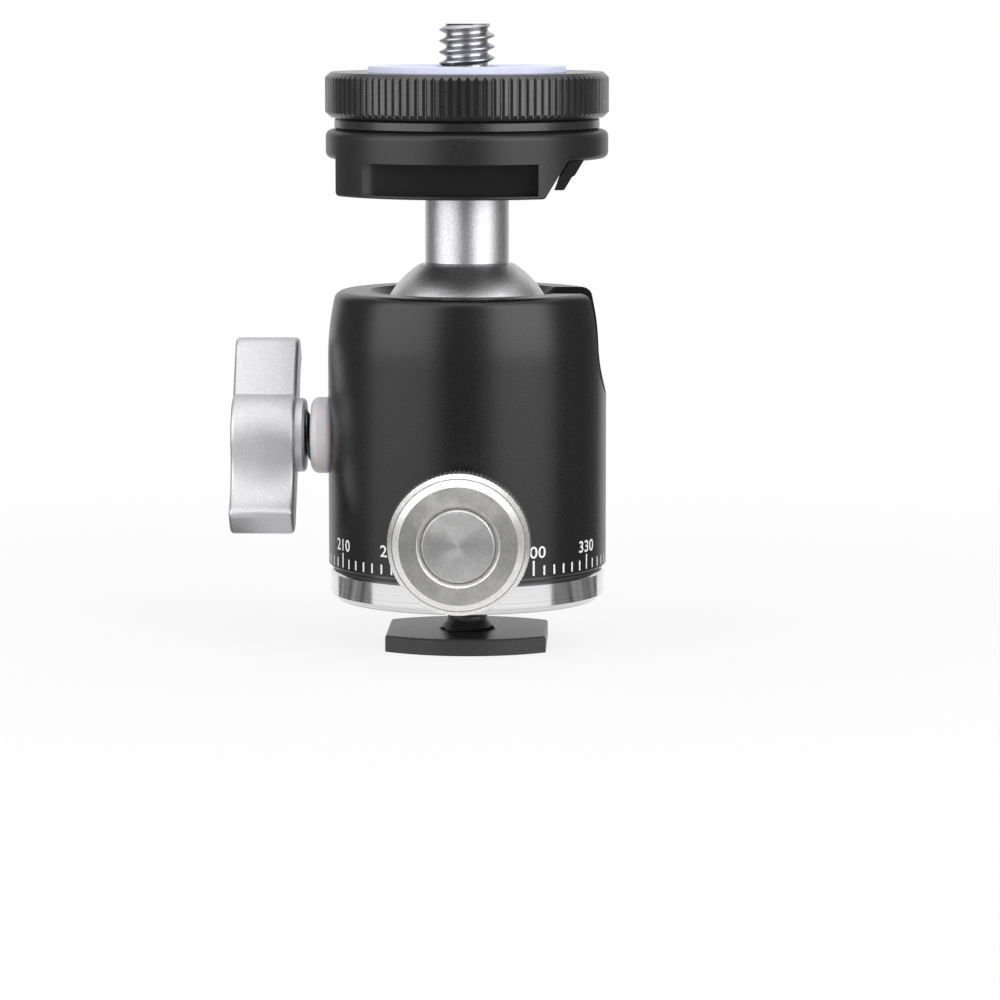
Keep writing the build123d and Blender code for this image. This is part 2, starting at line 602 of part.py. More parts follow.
def make_pan_knob():
    """Round knob: boss, knurled rim, groove, two bevels, and a recess for the screw's head."""
    step_height = PAN_KNOB_LENGTH - PAN_KNOB_BEVEL - PAN_KNOB_STEP
    rim_end = step_height - PAN_KNOB_SHOULDER
    bevel_radius = PAN_KNOB_FACE_RADIUS + PAN_KNOB_BEVEL
    shoulder_radius = bevel_radius + PAN_KNOB_STEP + PAN_KNOB_SHOULDER
    groove_radius = PAN_KNOB_RADIUS - PAN_KNOB_GROOVE_DEPTH
    blank = knurled(PAN_KNOB_RADIUS, PAN_KNOB_TOOTH_DEPTH, PAN_KNOB_TEETH, PAN_KNOB_LENGTH)
    knob = blank & turned([
        (0, 0),
        (PAN_KNOB_RADIUS - PAN_KNOB_BACK_CHAMFER, 0),
        (PAN_KNOB_RADIUS, PAN_KNOB_BACK_CHAMFER),
        (PAN_KNOB_RADIUS, rim_end - PAN_KNOB_GROOVE_WIDTH),
        (groove_radius, rim_end - PAN_KNOB_GROOVE_WIDTH),
        (groove_radius, rim_end),
        (0, rim_end),
    ])
    knob += turned([
        (0, rim_end),
        (shoulder_radius, rim_end),
        (bevel_radius + PAN_KNOB_STEP, step_height),
        (bevel_radius, step_height),
        (bevel_radius, PAN_KNOB_LENGTH - PAN_KNOB_BEVEL),
        (PAN_KNOB_FACE_RADIUS, PAN_KNOB_LENGTH),
        (0, PAN_KNOB_LENGTH),
    ])
    knob += ring(PAN_BOSS_RADIUS, 0, -PAN_BOSS_LENGTH, PAN_BOSS_LENGTH)
    knob -= ring(PAN_SCREW_RADIUS + FIXED_GAP, 0, -PAN_BOSS_LENGTH, PAN_BOSS_LENGTH + PAN_KNOB_LENGTH)
    recess_radius = PAN_HEAD_RADIUS + PAN_HEAD_ROOM
    knob -= turned([
        (0, PAN_KNOB_LENGTH - PAN_HEAD_RECESS_DEPTH),
        (recess_radius, PAN_KNOB_LENGTH - PAN_HEAD_RECESS_DEPTH),
        (recess_radius, PAN_KNOB_LENGTH - PAN_HEAD_RECESS_CHAMFER),
        (recess_radius + PAN_HEAD_RECESS_CHAMFER, PAN_KNOB_LENGTH),
        (0, PAN_KNOB_LENGTH),
    ])
    return along_minus_y(knob, pan_knob_back, pan_axis)


def make_pan_screw():
    """Screw through the knob, its flat head sunk in the knob's face."""
    start = bore_radius + FIXED_GAP
    shank = pan_knob_back + PAN_KNOB_LENGTH - PAN_HEAD_RECESS_DEPTH - start
    head_top = shank + PAN_HEAD_RECESS_DEPTH - PAN_HEAD_BELOW_FACE
    return along_minus_y(turned([
        (0, 0),
        (PAN_SCREW_RADIUS, 0),
        (PAN_SCREW_RADIUS, shank),
        (PAN_HEAD_RADIUS, shank),
        (PAN_HEAD_RADIUS, head_top - PAN_HEAD_CHAMFER),
        (PAN_HEAD_RADIUS - PAN_HEAD_CHAMFER, head_top),
        (0, head_top),
    ]), start, pan_axis)


# ---- Head: stem, platform and what it carries ----
def make_stem():
    stem = turned([
        (0, stem_bottom - STEM_SPIGOT_LENGTH),
        (STEM_SPIGOT_RADIUS, stem_bottom - STEM_SPIGOT_LENGTH),
        (STEM_SPIGOT_RADIUS, stem_bottom + FIXED_GAP),
        (STEM_RADIUS - STEM_CHAMFER, stem_bottom + FIXED_GAP),
        (STEM_RADIUS, stem_bottom + FIXED_GAP + STEM_CHAMFER),
        (STEM_RADIUS, block_bottom - STEM_CHAMFER),
        (STEM_RADIUS - STEM_CHAMFER, block_bottom),
        (0, block_bottom),
    ])
    return stem - ring(stud_hole_radius, 0, block_bottom - CAMERA_SCREW_IN_STEM, CAMERA_SCREW_IN_STEM)


def slant_x(height):
    """The block's slanted side: distance from the axis at a height."""
    return BLOCK_SLANT_BOTTOM + math.tan(math.radians(BLOCK_SLANT_ANGLE)) * (height - block_bottom)


def block_pocket():
    """Flat recess in the front of the block, rounded in plan at its left end."""
    left = POCKET_LEFT_LAND - BLOCK_LEFT_CUT
    right = BLOCK_SLANT_BOTTOM - POCKET_RIGHT_LAND
    back = POCKET_DEPTH - FLANGE_RADIUS
    outside = -2 * FLANGE_RADIUS
    outline = make_face(Polyline((left, outside), (right, outside), (right, back), (left, back), close=True))
    corner = outline.vertices().sort_by_distance((left, back, 0))[0]
    floor = block_bottom + POCKET_FLOOR_ABOVE_BOTTOM
    height = BLOCK_HEIGHT - POCKET_FLOOR_ABOVE_BOTTOM - POCKET_CEILING_BELOW_FLANGE
    return Pos(0, 0, floor) * extrude(fillet(corner, POCKET_CORNER), height)


def jaw_outline(grow):
    """Slanted bar in (x, z), from the block's slit up into the flange, grown sideways by a gap."""
    bottom = block_bottom + JAW_BOTTOM_ABOVE_BLOCK
    top = flange_bottom + JAW_TONGUE
    outer_step = bottom + JAW_OUTER_STEP_ABOVE_BOTTOM
    inner_step = bottom + JAW_INNER_STEP_ABOVE_BOTTOM
    lower_inner = JAW_SLIT - grow
    inner = lower_inner - JAW_INNER_STEP
    outer = JAW_SLIT - JAW_INNER_STEP + JAW_THICKNESS + grow
    lower_outer = outer - JAW_OUTER_STEP
    return [
        (slant_x(bottom) + lower_inner, bottom),
        (slant_x(bottom) + lower_outer, bottom),
        (slant_x(outer_step - JAW_STEP_DROP) + lower_outer, outer_step - JAW_STEP_DROP),
        (slant_x(outer_step) + outer, outer_step),
        (slant_x(top) + outer, top + grow),
        (slant_x(top) + inner, top + grow),
        (slant_x(inner_step) + inner, inner_step),
        (slant_x(inner_step - JAW_STEP_DROP) + lower_inner, inner_step - JAW_STEP_DROP),
    ]


def jaw_bar(grow):
    """The bar itself, its ends turned down with the flange."""
    points = jaw_outline(grow)
    outline = make_face(Polyline(*points, close=True))
    toe = outline.vertices().sort_by_distance((points[1][0], points[1][1], 0))[0]
    outline = fillet(toe, JAW_TOE_ROUNDING)
    bar = extrude(Plane.XZ * outline, JAW_LENGTH / 2 + grow, both=True)
    return bar & ring(FLANGE_RADIUS - JAW_SET_BACK + grow, 0, block_bottom, flange_top - block_bottom)


def make_side_jaw():
    return jaw_bar(0)


def make_platform():
    """Flange with the block below it, cut straight on one side and slanted on the other."""
    far = 2 * FLANGE_RADIUS
    platform = turned([
        (0, block_bottom),
        (FLANGE_RADIUS - BLOCK_EDGE, block_bottom),
        (FLANGE_RADIUS, block_bottom + BLOCK_EDGE),
        (FLANGE_RADIUS, flange_top),
        (0, flange_top),
    ])
    section = make_face(Polyline(
        (-BLOCK_LEFT_CUT, block_bottom),
        (slant_x(block_bottom), block_bottom),
        (slant_x(flange_bottom), flange_bottom),
        (far, flange_bottom),
        (far, flange_top),
        (-far, flange_top),
        (-far, flange_bottom),
        (-BLOCK_LEFT_CUT, flange_bottom),
        close=True,
    ))
    section = fillet(section.vertices().group_by(Axis.Y)[0], BLOCK_ROUNDING)
    platform &= extrude(Plane.XZ * section, far, both=True)
    rims = platform.edges().filter_by(GeomType.CIRCLE)
    rims = rims.filter_by(lambda edge: edge.center().Z > flange_bottom - FLANGE_ROUNDING)
    platform = fillet(rims, FLANGE_ROUNDING)
    platform -= block_pocket()
    platform -= jaw_bar(FIXED_GAP)
    return platform - ring(stud_hole_radius, 0, block_bottom, flange_top - block_bottom)


def make_neck_ring():
    return turned([
        (stud_hole_radius, flange_top),
        (neck_ring_radius - NECK_RING_EDGE, flange_top),
        (neck_ring_radius, flange_top + NECK_RING_EDGE),
        (neck_ring_radius, neck_ring_top - NECK_RING_EDGE),
        (neck_ring_radius - NECK_RING_EDGE, neck_ring_top),
        (stud_hole_radius, neck_ring_top),
    ])


def make_camera_screw():
    """1/4 inch stud from the stem to above the pad, relieved just under the pad's face."""
    relief_top = pad_top - RUNNING_GAP
    relief_bottom = relief_top - CAMERA_SCREW_RELIEF
    bottom = block_bottom - CAMERA_SCREW_IN_STEM + FIXED_GAP
    return turned([
        (0, bottom),
        (QUARTER_INCH_RADIUS, bottom),
        (QUARTER_INCH_RADIUS, relief_bottom),
        (CAMERA_SCREW_RELIEF_RADIUS, relief_bottom),
        (CAMERA_SCREW_RELIEF_RADIUS, relief_top),
        (QUARTER_INCH_RADIUS, relief_top),
        (QUARTER_INCH_RADIUS, camera_screw_top - CAMERA_SCREW_TIP_CHAMFER),
        (QUARTER_INCH_RADIUS - CAMERA_SCREW_TIP_CHAMFER, camera_screw_top),
        (0, camera_screw_top),
    ])


def make_lock_wheel():
    """Knurled wheel on the camera screw, chamfered above and below, with a seat for the pad."""
    blank = knurled(
        WHEEL_RADIUS, WHEEL_TOOTH_DEPTH, WHEEL_TEETH, WHEEL_HEIGHT, WHEEL_TOOTH_CREST, WHEEL_TOOTH_ROOT
    )
    form = turned([
        (0, 0),
        (WHEEL_RADIUS - WHEEL_CHAMFER, 0),
        (WHEEL_RADIUS, WHEEL_CHAMFER),
        (WHEEL_RADIUS, WHEEL_HEIGHT - WHEEL_CHAMFER),
        (WHEEL_RADIUS - WHEEL_CHAMFER, WHEEL_HEIGHT),
        (0, WHEEL_HEIGHT),
    ])
    wheel = Pos(0, 0, wheel_bottom) * (blank & form)
    sunk = PAD_THICKNESS - PAD_PROUD
    wheel -= ring(PAD_RADIUS + FIXED_GAP, 0, wheel_top - sunk, sunk)
    return wheel - ring(QUARTER_INCH_RADIUS + RUNNING_GAP, 0, wheel_bottom, WHEEL_HEIGHT)


def make_wheel_pad():
    return ring(PAD_RADIUS, pad_hole_radius, pad_top - PAD_THICKNESS, PAD_THICKNESS)


PIECES = {
    "shoe_foot": make_shoe_foot,
    "shoe_stud": make_shoe_stud,
    "base_plate": make_base_plate,
    "spindle_screws": make_spindle_screws,
    "pan_spindle": make_pan_spindle,
    "glide_washer": make_glide_washer,
    "housing": make_housing,
    "housing_plug": make_housing_plug,
    "spring_plate": make_spring_plate,
    "disc_springs": make_disc_springs,
    "knob_washer": make_knob_washer,
    "pressure_plate": make_pressure_plate,
    "ball_cup": make_ball_cup,
    "ball": make_ball,
    "ball_plunger": make_ball_plunger,
    "lock_screw": make_lock_screw,
    "lock_knob": make_lock_knob,
    "pan_brake_pad": make_pan_brake_pad,
    "pan_knob": make_pan_knob,
    "pan_screw": make_pan_screw,
    "stem": make_stem,
    "platform": make_platform,
    "side_jaw": make_side_jaw,
    "neck_ring": make_neck_ring,
    "camera_screw": make_camera_screw,
    "lock_wheel": make_lock_wheel,
    "wheel_pad": make_wheel_pad,
}

os.makedirs("parts", exist_ok=True)
for name, make in PIECES.items():
    export_step(make(), f"parts/{name}.step")
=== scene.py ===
import json
import math

import bmesh
import bpy
from mathutils import Matrix, Vector


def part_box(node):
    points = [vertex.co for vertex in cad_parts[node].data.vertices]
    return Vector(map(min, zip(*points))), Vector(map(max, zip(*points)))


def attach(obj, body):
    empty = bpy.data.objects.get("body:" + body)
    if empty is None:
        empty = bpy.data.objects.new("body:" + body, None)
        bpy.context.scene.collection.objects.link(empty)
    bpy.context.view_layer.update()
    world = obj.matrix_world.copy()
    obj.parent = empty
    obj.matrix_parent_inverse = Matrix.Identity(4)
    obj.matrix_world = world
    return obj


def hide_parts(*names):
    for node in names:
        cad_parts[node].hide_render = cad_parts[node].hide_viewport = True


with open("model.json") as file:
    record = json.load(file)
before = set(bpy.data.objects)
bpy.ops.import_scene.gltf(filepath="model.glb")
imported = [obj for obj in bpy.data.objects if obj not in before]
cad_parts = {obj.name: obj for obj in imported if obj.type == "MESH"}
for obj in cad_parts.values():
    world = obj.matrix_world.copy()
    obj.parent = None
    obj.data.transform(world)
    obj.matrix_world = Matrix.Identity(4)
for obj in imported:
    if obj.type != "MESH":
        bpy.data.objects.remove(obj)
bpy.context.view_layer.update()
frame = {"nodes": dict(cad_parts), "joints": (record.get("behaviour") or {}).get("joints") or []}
nodes = frame["nodes"]
joints = {joint["name"]: joint for joint in frame["joints"]}
scene = bpy.context.scene
MM = 0.001
PAN = Vector(joints["pan_knob_turn"]["pos_m"])
LOCK = Vector(joints["lock_knob_turn"]["pos_m"])
AXIS = Vector((0, 0, 0))


# ---- Finishes ----
class Nodes:
    """The node tree of a material or world, emptied."""

    def __init__(self, owner):
        self.owner = owner
        owner.use_nodes = True
        self.tree = owner.node_tree
        self.tree.nodes.clear()

    def add(self, kind, **settings):
        node = self.tree.nodes.new(kind)
        for name, value in settings.items():
            setattr(node, name, value)
        return node

    def join(self, start, end):
        self.tree.links.new(start, end)

    def math(self, operation, *values):
        node = self.add("ShaderNodeMath", operation=operation)
        for socket, value in zip(node.inputs, values):
            if isinstance(value, (int, float)):
                socket.default_value = value
            else:
                self.join(value, socket)
        return node.outputs[0]

    def split(self, vector):
        node = self.add("ShaderNodeSeparateXYZ")
        self.join(vector, node.inputs[0])
        return node.outputs

    def ranged(self, value, low, high, start=0.3, end=0.7):
        node = self.add("ShaderNodeMapRange")
        for name, number in (("From Min", start), ("From Max", end), ("To Min", low), ("To Max", high)):
            node.inputs[name].default_value = number
        self.join(value, node.inputs["Value"])
        return node.outputs["Result"]

    def lines(self, value, scale, detail, roughness=0.5):
        """Noise along one value."""
        node = self.add("ShaderNodeTexNoise", noise_dimensions="1D")
        node.inputs["Scale"].default_value = scale
        node.inputs["Detail"].default_value = detail
        node.inputs["Roughness"].default_value = roughness
        self.join(value, node.inputs["W"])
        return node.outputs["Fac"]

    def glow(self, kind, strength):
        """White light from a surface or a background."""
        node = self.add(kind)
        node.inputs["Color"].default_value = (1, 1, 1, 1)
        if isinstance(strength, (int, float)):
            node.inputs["Strength"].default_value = strength
        else:
            self.join(strength, node.inputs["Strength"])
        return node.outputs[0]

    def seen_ray(self):
        """1 for rays that show the background: straight, mirrored or through something clear."""
        path = self.add("ShaderNodeLightPath").outputs
        straight = self.math("MAXIMUM", path["Is Camera Ray"], path["Is Glossy Ray"])
        return self.math("MAXIMUM", straight, path["Is Transmission Ray"])

    def mix(self, share, first, second):
        node = self.add("ShaderNodeMixShader")
        for socket, value in zip(node.inputs, (share, first, second)):
            self.join(value, socket)
        return node.outputs[0]

    def show(self, kind, shader):
        """Send a shader to the output."""
        self.join(shader, self.add(kind).inputs["Surface"])


class Finish(Nodes):
    """A Principled material whose detail comes from the object's own coordinates, in metres."""

    def __init__(self, name, colour, metallic, roughness, **fixed):
        super().__init__(bpy.data.materials.new(name))
        self.colour = colour
        self.shader = self.add("ShaderNodeBsdfPrincipled")
        self.shader.inputs["Base Color"].default_value = (*colour, 1)
        self.shader.inputs["Metallic"].default_value = metallic
        self.shader.inputs["Roughness"].default_value = roughness
        for socket, value in fixed.items():
            self.shader.inputs[socket.replace("_", " ")].default_value = value
        self.show("ShaderNodeOutputMaterial", self.shader.outputs["BSDF"])
        self.place = self.add("ShaderNodeTexCoord").outputs["Object"]
        self.normal = None

    def noise(self, size, detail=2.0, roughness=0.5):
        """Cloudy noise whose features are about size millimetres across."""
        mapping = self.add("ShaderNodeMapping")
        mapping.inputs["Scale"].default_value = [1 / (size * MM)] * 3
        self.join(self.place, mapping.inputs["Vector"])
        node = self.add("ShaderNodeTexNoise")
        node.inputs["Scale"].default_value = 1.0
        node.inputs["Detail"].default_value = detail
        node.inputs["Roughness"].default_value = roughness
        self.join(mapping.outputs["Vector"], node.inputs["Vector"])
        return node.outputs["Fac"]

    def lathe(self, axis, centre, spacing):
        """Lines left by turning about an axis through centre: they follow the radius on a face and the
        length on a side."""
        shifted = self.add("ShaderNodeVectorMath", operation="SUBTRACT")
        self.join(self.place, shifted.inputs[0])
        shifted.inputs[1].default_value = centre
        parts = self.split(shifted.outputs[0])
        squares = [self.math("MULTIPLY", parts[other], parts[other]) for other in "XYZ" if other != axis]
        radius = self.math("SQRT", self.math("ADD", *squares))
        along = self.math("ADD", radius, self.math("ABSOLUTE", parts[axis]))
        return self.lines(along, 1 / (spacing * MM), 3.0, 0.6)

    def shade(self, value, darker, lighter):
        """Vary the colour between two multiples of itself."""
        ramp = self.add("ShaderNodeValToRGB")
        for element, where, factor in zip(ramp.color_ramp.elements, (0.3, 0.7), (darker, lighter)):
            element.position = where
            element.color = [min(1.0, part * factor) for part in self.colour] + [1]
        self.join(value, ramp.inputs["Fac"])
        self.join(ramp.outputs["Color"], self.shader.inputs["Base Color"])

    def band(self, axis, low, high, factor):
        """Paint shade: multiply the colour between two places along an axis, in millimetres."""
        along = self.split(self.place)[axis]
        inside = self.math("MULTIPLY", self.math("GREATER_THAN", along, low * MM),
                           self.math("LESS_THAN", along, high * MM))
        mix = self.add("ShaderNodeMix", data_type="RGBA", blend_type="MULTIPLY")
        base = self.shader.inputs["Base Color"].links[0].from_socket
        self.join(inside, mix.inputs[0])
        self.join(base, mix.inputs[6])
        mix.inputs[7].default_value = (factor, factor, factor, 1)
        self.join(mix.outputs[2], self.shader.inputs["Base Color"])

    def rough(self, value, low, high):
        self.join(self.ranged(value, low, high), self.shader.inputs["Roughness"])

    def bump(self, value, depth):
        """Relief of depth millimetres."""
        node = self.add("ShaderNodeBump")
        node.inputs["Strength"].default_value = 1.0
        node.inputs["Distance"].default_value = depth * MM
        self.join(value, node.inputs["Height"])
        if self.normal:
            self.join(self.normal, node.inputs["Normal"])
        self.normal = node.outputs["Normal"]
        self.join(self.normal, self.shader.inputs["Normal"])

    def brushed(self, amount, axis):
        """Reflection stretched across the turning lines about an axis."""
        self.shader.inputs["Anisotropic"].default_value = amount
        tangent = self.add("ShaderNodeTangent", direction_type="RADIAL", axis=axis)
        self.join(tangent.outputs["Tangent"], self.shader.inputs["Tangent"])

    def on(self, thing):
        thing.data.materials.clear()
        thing.data.materials.append(self.owner)


def anodised(name, colour, roughness, grain=0.12, depth=0.006, ior=1.5, **fixed):
    """Dyed anodised aluminium: a dark satin film with a fine matt grain."""
    finish = Finish(name, colour, 0.0, roughness, IOR=ior, **fixed)
    fine = finish.noise(grain, 3.0)
    finish.shade(fine, 0.6, 1.45)
    finish.rough(fine, roughness - 0.03, roughness + 0.04)
    finish.bump(fine, depth)
    return finish


def blasted(name, colour, roughness, grain=0.16, depth=0.02, spread=(0.82, 1.14)):
    """Bead blasted aluminium: a bright even haze of small dents."""
    finish = Finish(name, colour, 1.0, roughness)
    dents = finish.noise(grain, 2.5, 0.6)
    finish.shade(dents, *spread)
    finish.rough(finish.noise(3.0), roughness - 0.03, roughness + 0.03)
    finish.bump(dents, depth)
    return finish


def turned(name, colour, roughness, axis, centre, spacing=0.12, depth=0.003, anisotropy=0.5, metallic=1.0,
           spread=(0.9, 1.05), stained=False, **fixed):
    """Metal with the fine lines of the lathe, or with those and a grain of small stains."""
    finish = Finish(name, colour, metallic, roughness, **fixed)
    lines = finish.lathe(axis, centre, spacing)
    finish.rough(finish.noise(2.0), roughness - 0.03, roughness + 0.04)
    finish.bump(lines, depth)
    if stained:
        grain = finish.noise(0.35, 4.0, 0.7)
        finish.shade(grain, *spread)
        finish.bump(grain, 0.006)
    else:
        finish.shade(lines, *spread)
    if anisotropy:
        finish.brushed(anisotropy, axis)
    return finish


def pan_metal(name, tone):
    """Stained metal turned about the pan screw."""
    return turned(name, (tone, tone * 0.99, tone * 0.98), 0.34, "Y", PAN, anisotropy=0.6,
                  spread=(0.8, 1.06), stained=True)


def plastic(name, colour, roughness, grain=0.4, depth=0.004, **fixed):
    finish = Finish(name, colour, 0.0, roughness, **fixed)
    fine = finish.noise(grain, 2.0)
    finish.shade(finish.noise(2.5, 3.0), 0.95, 1.04)
    finish.rough(fine, roughness - 0.04, roughness + 0.05)
    finish.bump(fine, depth)
    return finish


# ---- Shapes ----
MERGE_DISTANCE = 0.0005 * MM


def new_piece(work, name, smooth_angle):
    """Turn a bmesh into an object that is smooth up to an angle in degrees."""
    bmesh.ops.recalc_face_normals(work, faces=work.faces)
    mesh = bpy.data.meshes.new(name)
    work.to_mesh(mesh)
    work.free()
    mesh.shade_smooth()
    mesh.set_sharp_from_angle(angle=math.radians(smooth_angle))
    piece = bpy.data.objects.new(name, mesh)
    scene.collection.objects.link(piece)
    return piece


def mesh_object(name, vertices, faces, smooth_angle=40.0):
    """Object from vertices in metres and faces, with what coincides merged."""
    work = bmesh.new()
    points = [work.verts.new(vertex) for vertex in vertices]
    for face in faces:
        work.faces.new([points[corner] for corner in face])
    bmesh.ops.remove_doubles(work, verts=work.verts, dist=MERGE_DISTANCE)
    bmesh.ops.dissolve_degenerate(work, edges=work.edges, dist=MERGE_DISTANCE)
    return new_piece(work, name, smooth_angle)


def dress(piece, body, node):
    """Make a piece the visible one of a node."""
    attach(piece, body)
    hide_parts(node)


# shares of the pitch: the end of the crest, the rounded root's start and end, and all rows of points
CREST_END, ROOT_START, ROOT_END = 0.12, 0.43, 0.71
THREAD_ROWS = (0.0, 0.06, CREST_END, ROOT_START, 0.48, 0.66, ROOT_END)
ROOT_SAG = 0.03


def threaded_rod(name, outline, thread, thread_start, thread_end, place, steps=96):
    """A turned rod along +Z with a right-handed thread. outline gives (height, radius) from end to end,
    the thread is cut into it between two heights, and place lays the rod in the model. Millimetres."""
    pitch, crest, root = thread
    low, high = outline[0][0], outline[-1][0]

    def limit(height):
        for (h0, r0), (h1, r1) in zip(outline, outline[1:]):
            if h0 <= height <= h1:
                return r1 if h1 == h0 else r0 + (r1 - r0) * (height - h0) / (h1 - h0)
        return outline[-1][1]

    def profile(phase):
        if phase <= CREST_END:
            return crest
        if phase < ROOT_START:
            return crest + (root - crest) * (phase - CREST_END) / (ROOT_START - CREST_END)
        if phase <= ROOT_END:
            return root - ROOT_SAG * math.sin(math.pi * (phase - ROOT_START) / (ROOT_END - ROOT_START))
        return root + (crest - root) * (phase - ROOT_END) / (1 - ROOT_END)

    turns = range(-2, int((high - low) / pitch) + 2)
    heights = [(turn + phase) * pitch for turn in turns for phase in THREAD_ROWS]
    vertices, faces = [], []
    for step in range(steps):
        angle = 2 * math.pi * step / steps
        lean = pitch * step / steps
        column = []
        for number, height in enumerate(heights):
            z = min(max(low + height + lean, low), high)
            radius = limit(z)
            if thread_start <= z <= thread_end:
                radius = min(radius, profile(THREAD_ROWS[number % len(THREAD_ROWS)]))
            column.append((radius * math.cos(angle), radius * math.sin(angle), z))
        vertices += column
    rows = len(heights)
    for step in range(steps):
        after = (step + 1) % steps
        # the last column meets the first one, one turn further on
        shift = 0 if after else len(THREAD_ROWS)
        for row in range(rows - 1 - shift):
            a, b = step * rows + row, after * rows + row + shift
            faces.append((a, b, b + 1, a + 1))
    for end in (low, high):
        rim = []
        radius = limit(end)
        for step in range(steps):
            angle = 2 * math.pi * step / steps
            rim.append(len(vertices))
            vertices.append((radius * math.cos(angle), radius * math.sin(angle), end))
        faces.append(tuple(rim))
    placed = [place @ (Vector(v) * MM) for v in vertices]
    return mesh_object(name, [tuple(v) for v in placed], faces, 30.0)


def lathe_shape(work, outline, place, steps=96, closed=False):
    """Turn an outline of (height, radius) rows about +Z and lay it in the model. A row's third value is
    its radius at every other step, for a knurl. A closed outline comes back to its start; an open one
    gets flat ends. Millimetres."""
    columns = []
    for step in range(steps):
        angle = 2 * math.pi * step / steps
        column = []
        for height, radius, *valley in outline:
            if valley and step % 2:
                radius = valley[0]
            spot = Vector((radius * math.cos(angle), radius * math.sin(angle), height)) * MM
            column.append(work.verts.new(place @ spot))
        columns.append(column)
    for step in range(steps):
        near, far = columns[step], columns[(step + 1) % steps]
        for row in range(0 if closed else 1, len(outline)):
            work.faces.new((near[row - 1], far[row - 1], far[row], near[row]))
    if not closed:
        for row in (0, -1):
            work.faces.new([column[row] for column in columns])


# ---- Camera ----
CAMERA_TURN = math.radians(2.28)
CAMERA_DISTANCE = 0.480
CAMERA_HEIGHT = 0.077
CAMERA_PITCH = math.radians(7.15)
CAMERA_YAW = math.radians(0.45)
CAMERA_LENS = 150.7

camera_data = bpy.data.cameras.new("camera")
camera_data.lens = CAMERA_LENS
camera_data.sensor_width = 36
camera_data.clip_start = 0.01
camera_data.clip_end = 50
camera = bpy.data.objects.new("camera", camera_data)
scene.collection.objects.link(camera)
camera.location = (
    CAMERA_DISTANCE * math.sin(CAMERA_TURN), -CAMERA_DISTANCE * math.cos(CAMERA_TURN), CAMERA_HEIGHT)
camera.rotation_euler = (math.pi / 2 - CAMERA_PITCH, 0, CAMERA_TURN - CAMERA_YAW)
scene.camera = camera
scene.view_settings.view_transform = "Standard"


# ---- Light ----
LIT_POINT = Vector((0, 0, 0.04))


def toward(turn):
    """Level direction from the model, as an angle to the right of the camera's side."""
    angle = CAMERA_TURN + math.radians(turn)
    return Vector((math.sin(angle), -math.cos(angle), 0))


def softbox(name, turn, lift, distance, width, height, radiance):
    """Area lamp that faces the model from an angle to the right and an angle up. Degrees and metres."""
    data = bpy.data.lights.new(name, "AREA")
    data.shape = "RECTANGLE"
    data.size, data.size_y = width, height
    data.energy = math.pi * width * height * radiance
    lamp = bpy.data.objects.new(name, data)
    scene.collection.objects.link(lamp)
    lifted = math.radians(lift)
    direction = toward(turn) * math.cos(lifted) + Vector((0, 0, math.sin(lifted)))
    lamp.location = LIT_POINT + direction * distance
    lamp.rotation_euler = direction.to_track_quat("Z", "Y").to_euler()
    lamp.visible_camera = False


CARD_START = 0.016
CARD_NEAR = 0.015
CARD_FAR = 1.3
CARD_HEIGHT = 1.3
CARD_FLOAT = 0.0005
CARD_STEPS = 16


def dark_card(name, start, end):
    """Curved card outside the view that only shows in reflections: along the floor from near to far,
    then upright. A round side mirrors a direction at half its angle, which is where the card begins."""
    vertices, faces = [], []
    for step in range(CARD_STEPS + 1):
        turn = start + (end - start) * step / CARD_STEPS
        mirror = toward(turn / 2) * CARD_START
        for distance, height in ((CARD_NEAR, CARD_FLOAT), (CARD_FAR, CARD_FLOAT), (CARD_FAR, CARD_HEIGHT)):
            spot = mirror + toward(turn) * distance
            vertices.append((spot.x, spot.y, height))
    for step in range(CARD_STEPS):
        a = 3 * step
        faces += [(a, a + 3, a + 4, a + 1), (a + 1, a + 4, a + 5, a + 2)]
    card = mesh_object(name, vertices, faces)
    card.visible_camera = False
    card.visible_shadow = False
    card.visible_diffuse = False
    return card


softbox("left_softbox", -57, 14, 0.80, 0.90, 1.10, 1.8)
softbox("right_softbox", 47, 14, 0.80, 0.80, 1.10, 2.6)
softbox("top_softbox", 0, 80, 0.90, 0.90, 0.90, 0.9)
cards = [
    dark_card("front_card", -25, 18),
    dark_card("left_card", -141, -88),
    dark_card("right_card", 75, 143),
]

WORLD_LIGHT = 0.45
FLOOR_COLOUR = 0.82
FLOOR_GLOW = (0.82, 1.0)                # share of plain white near the model and far from it
FLOOR_FADE = (0.03, 0.2)                # metres from the model's axis
STREAK_SCALE = 9.0
STREAK_RANGE = (0.35, 0.65)
CARD_GLOW = (0.07, 0.36)

world = bpy.data.worlds.new("studio")
scene.world = world
studio = Nodes(world)
plain = studio.glow("ShaderNodeBackground", WORLD_LIGHT)
shown = studio.glow("ShaderNodeBackground", 1.0)
studio.show("ShaderNodeOutputWorld", studio.mix(studio.seen_ray(), plain, shown))

floor = mesh_object("floor", [(-6, -6, 0), (6, -6, 0), (6, 6, 0), (-6, 6, 0)], [(0, 1, 2, 3)])
floor.location.z = -0.00002     # just under the foot
pale = Nodes(bpy.data.materials.new("pale_floor"))
diffuse = pale.add("ShaderNodeBsdfDiffuse")
diffuse.inputs["Color"].default_value = (FLOOR_COLOUR, FLOOR_COLOUR, FLOOR_COLOUR, 1)
distance = pale.add("ShaderNodeVectorMath", operation="LENGTH")
pale.join(pale.add("ShaderNodeTexCoord").outputs["Object"], distance.inputs[0])
fade = pale.ranged(distance.outputs["Value"], *FLOOR_GLOW, *FLOOR_FADE)
share = pale.math("MULTIPLY", pale.seen_ray(), fade)
pale.show("ShaderNodeOutputMaterial",
          pale.mix(share, diffuse.outputs[0], pale.glow("ShaderNodeEmission", 1.0)))
floor.data.materials.append(pale.owner)

